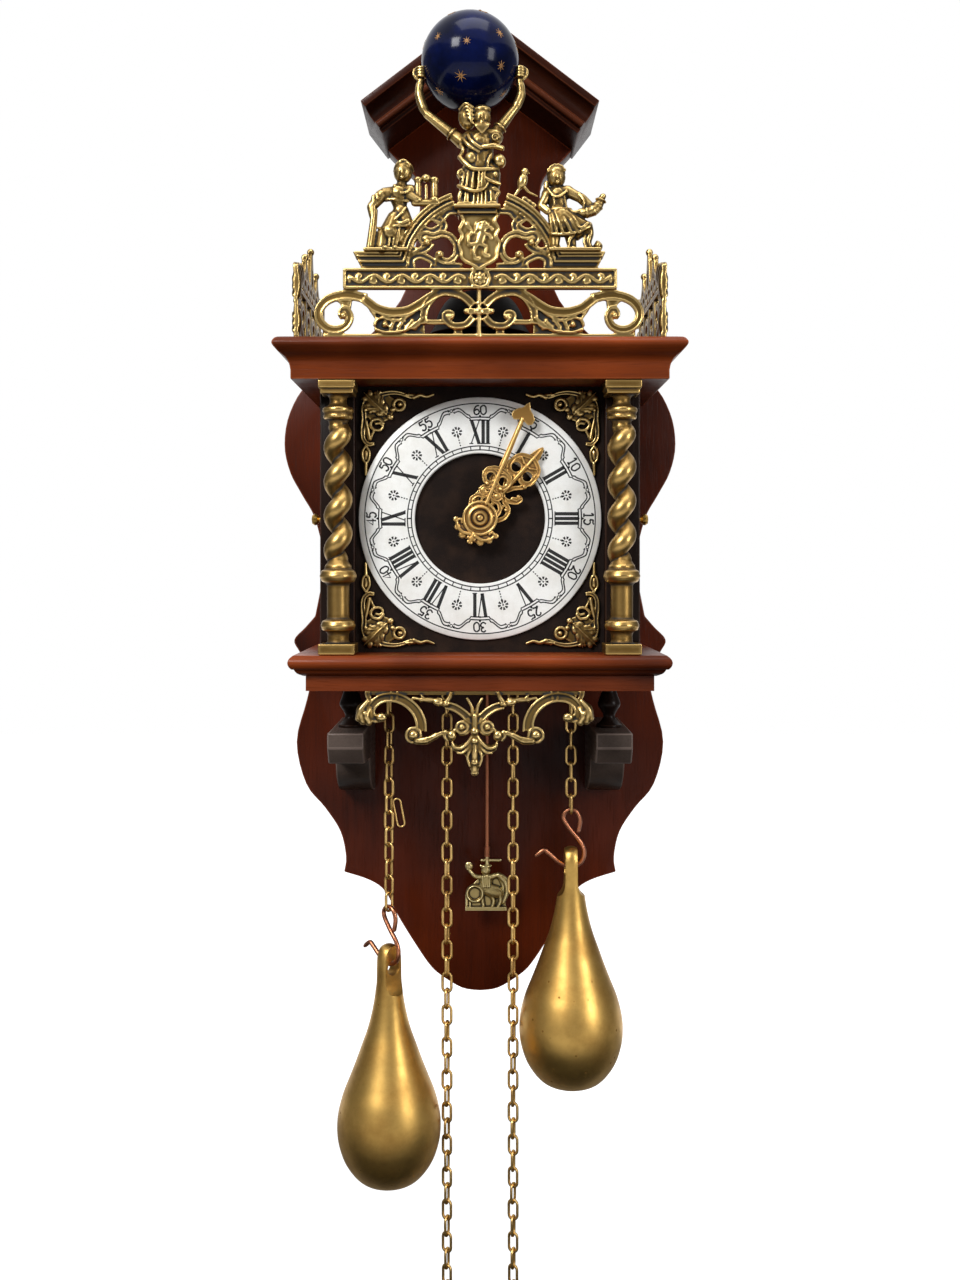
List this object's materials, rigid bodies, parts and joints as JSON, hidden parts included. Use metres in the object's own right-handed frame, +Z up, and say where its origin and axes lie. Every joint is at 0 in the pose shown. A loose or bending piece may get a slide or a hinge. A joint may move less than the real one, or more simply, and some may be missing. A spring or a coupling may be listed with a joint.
{
  "type": "weight-driven wall clock",
  "caption": "Weight-driven wall clock: shaped back board, glazed movement case with twisted columns, cast brass crest with globe, silvered dial, pear weights on chains, rider pendulum.",
  "frame": {"origin": "centre of the hanging hole at the wall side of the hanging plate", "axes": "+X to the viewer's right, +Y into the wall, +Z up"},
  "size_m": [0.28, 0.1604, 0.8828],
  "materials": {
    "mahogany": "polished",
    "dark_wood": "waxed",
    "steel": "satin",
    "door_glass": "clear",
    "globe_paint": "gloss",
    "dial_ground": "matte",
    "silvered_ring": "silvered",
    "gilt_hands": "gilt",
    "aged_brass": "antique",
    "movement_brass": "satin",
    "bell_metal": "dark",
    "weight_brass": "satin",
    "chain_brass": "bright",
    "copper_wire": "worn"
  },
  "bodies": {
    "case": {"back_board": "mahogany", "gable_mouldings": "mahogany", "cornice": "mahogany", "base_board": "mahogany", "case_posts": "dark_wood", "brackets": "dark_wood", "bracket_balusters": "dark_wood", "hanger_plate": "steel", "door_pivot_pins": "steel", "column_left": "aged_brass", "column_right": "aged_brass", "crest_fret": "aged_brass", "atlas_figure": "aged_brass", "left_figure": "aged_brass", "right_figure": "aged_brass", "celestial_globe": "globe_paint", "side_fret_left": "aged_brass", "side_fret_right": "aged_brass", "apron_fret": "aged_brass", "dial_plate": "dial_ground", "chapter_ring": "silvered_ring", "corner_spandrels": "aged_brass", "front_plate": "movement_brass", "rear_plate": "movement_brass", "plate_pillars": "movement_brass", "bell": "bell_metal", "bell_post": "steel", "pendulum_cock": "movement_brass"},
    "left_door": {"side_door_left": "mahogany", "door_glass_left": "door_glass", "door_knob_left": "aged_brass"},
    "right_door": {"side_door_right": "mahogany", "door_glass_right": "door_glass", "door_knob_right": "aged_brass"},
    "minute": {"minute_hand": "gilt_hands", "hand_nut": "gilt_hands"},
    "centre_wheel": {"centre_wheel": "movement_brass"},
    "hour": {"hour_hand": "gilt_hands", "hour_wheel": "movement_brass"},
    "minute_wheel": {"minute_wheel": "movement_brass"},
    "going_great_wheel": {"going_great_wheel": "movement_brass"},
    "third_wheel": {"third_wheel": "movement_brass"},
    "escape_wheel": {"escape_wheel": "movement_brass"},
    "pendulum": {"pendulum_rod": "steel", "pendulum_rider": "aged_brass"},
    "pallets": {"pallet_anchor": "steel"},
    "going_weight": {"going_weight_chain": "chain_brass", "going_hook": "copper_wire", "going_weight": "weight_brass", "stop_ring": "chain_brass"},
    "going_free_chain": {"going_free_chain": "chain_brass"},
    "going_sprocket": {"going_sprocket": "steel"},
    "strike_weight": {"strike_weight_chain": "chain_brass", "strike_hook": "copper_wire", "strike_weight": "weight_brass"},
    "strike_free_chain": {"strike_free_chain": "chain_brass"},
    "strike_sprocket": {"strike_sprocket": "steel"},
    "strike_great_wheel": {"strike_great_wheel": "movement_brass"},
    "pin_wheel": {"pin_wheel": "movement_brass"},
    "hammer": {"hammer": "steel"}
  },
  "joints": [
    {"name": "minute_hand_turn", "type": "hinge", "parent": "case", "child": "minute", "pos_m": [0, -0.11, -0.2673], "axis": [0, 1, 0], "continuous": true},
    {"name": "hour_hand_turn", "type": "hinge", "parent": "case", "child": "hour", "pos_m": [0, -0.115, -0.2673], "axis": [0, 1, 0], "continuous": true},
    {"name": "minute_wheel_turn", "type": "hinge", "parent": "case", "child": "minute_wheel", "pos_m": [0, -0.107, -0.2853], "axis": [0, 1, 0], "continuous": true},
    {"name": "centre_wheel_turn", "type": "hinge", "parent": "case", "child": "centre_wheel", "pos_m": [0, -0.09, -0.2673], "axis": [0, 1, 0], "continuous": true},
    {"name": "going_great_wheel_turn", "type": "hinge", "parent": "case", "child": "going_great_wheel", "pos_m": [-0.04125, -0.09, -0.30002], "axis": [0, 1, 0], "continuous": true},
    {"name": "third_wheel_turn", "type": "hinge", "parent": "case", "child": "third_wheel", "pos_m": [-0.00889, -0.08, -0.24287], "axis": [0, 1, 0], "continuous": true},
    {"name": "escape_wheel_turn", "type": "hinge", "parent": "case", "child": "escape_wheel", "pos_m": [0.005, -0.07, -0.22404], "axis": [0, 1, 0], "continuous": true},
    {"name": "pendulum_swing", "type": "hinge", "parent": "case", "child": "pendulum", "pos_m": [0.005, -0.035, -0.203], "axis": [0, 1, 0], "range_deg": [-4, 4]},
    {"name": "pallet_rock", "type": "hinge", "parent": "case", "child": "pallets", "pos_m": [0.005, -0.069, -0.203], "axis": [0, 1, 0], "range_deg": [-4, 4]},
    {"name": "going_weight_drop", "type": "slide", "parent": "case", "child": "going_weight", "axis": [0, 0, 1], "range_m": [-0.03, 0.06]},
    {"name": "going_free_chain_rise", "type": "slide", "parent": "case", "child": "going_free_chain", "axis": [0, 0, 1], "range_m": [-0.06, 0.03]},
    {"name": "going_sprocket_turn", "type": "hinge", "parent": "case", "child": "going_sprocket", "pos_m": [-0.04125, -0.08, -0.30002], "axis": [0, 1, 0], "range_deg": [-90, 180]},
    {"name": "strike_weight_drop", "type": "slide", "parent": "case", "child": "strike_weight", "axis": [0, 0, 1], "range_m": [-0.06, 0.06]},
    {"name": "strike_free_chain_rise", "type": "slide", "parent": "case", "child": "strike_free_chain", "axis": [0, 0, 1], "range_m": [-0.06, 0.06]},
    {"name": "strike_sprocket_turn", "type": "hinge", "parent": "case", "child": "strike_sprocket", "pos_m": [0.04125, -0.08, -0.30002], "axis": [0, 1, 0], "range_deg": [-180, 180]},
    {"name": "strike_great_wheel_turn", "type": "hinge", "parent": "case", "child": "strike_great_wheel", "pos_m": [0.04125, -0.07, -0.30002], "axis": [0, 1, 0], "continuous": true},
    {"name": "pin_wheel_turn", "type": "hinge", "parent": "case", "child": "pin_wheel", "pos_m": [0.04488, -0.065, -0.24814], "axis": [0, 1, 0], "continuous": true},
    {"name": "hammer_lift", "type": "hinge", "parent": "case", "child": "hammer", "pos_m": [0.058, -0.066, -0.222], "axis": [0, 1, 0], "range_deg": [0, 12], "stiffness_Nm_per_rad": 0.05, "springref_deg": -11.46},
    {"name": "left_door_swing", "type": "hinge", "parent": "case", "child": "left_door", "pos_m": [-0.098, -0.034, -0.267], "axis": [0, 0, -1], "range_deg": [0, 90]},
    {"name": "right_door_swing", "type": "hinge", "parent": "case", "child": "right_door", "pos_m": [0.098, -0.034, -0.267], "axis": [0, 0, 1], "range_deg": [0, 90]}
  ],
  "couplings": [
    {"joint": "hour_hand_turn", "follows": "minute_hand_turn", "ratio": 0.083333},
    {"joint": "minute_wheel_turn", "follows": "minute_hand_turn", "ratio": -0.33333},
    {"joint": "third_wheel_turn", "follows": "escape_wheel_turn", "ratio": -0.083333},
    {"joint": "centre_wheel_turn", "follows": "escape_wheel_turn", "ratio": 0.0092593},
    {"joint": "going_great_wheel_turn", "follows": "escape_wheel_turn", "ratio": -0.0011574},
    {"joint": "pallet_rock", "follows": "pendulum_swing", "ratio": 1},
    {"joint": "going_free_chain_rise", "follows": "going_weight_drop", "ratio": -1},
    {"joint": "going_sprocket_turn", "follows": "going_weight_drop", "rad_per_m": 51.948},
    {"joint": "strike_free_chain_rise", "follows": "strike_weight_drop", "ratio": -1},
    {"joint": "strike_sprocket_turn", "follows": "strike_weight_drop", "rad_per_m": -51.948},
    {"joint": "pin_wheel_turn", "follows": "strike_great_wheel_turn", "ratio": -9}
  ]
}
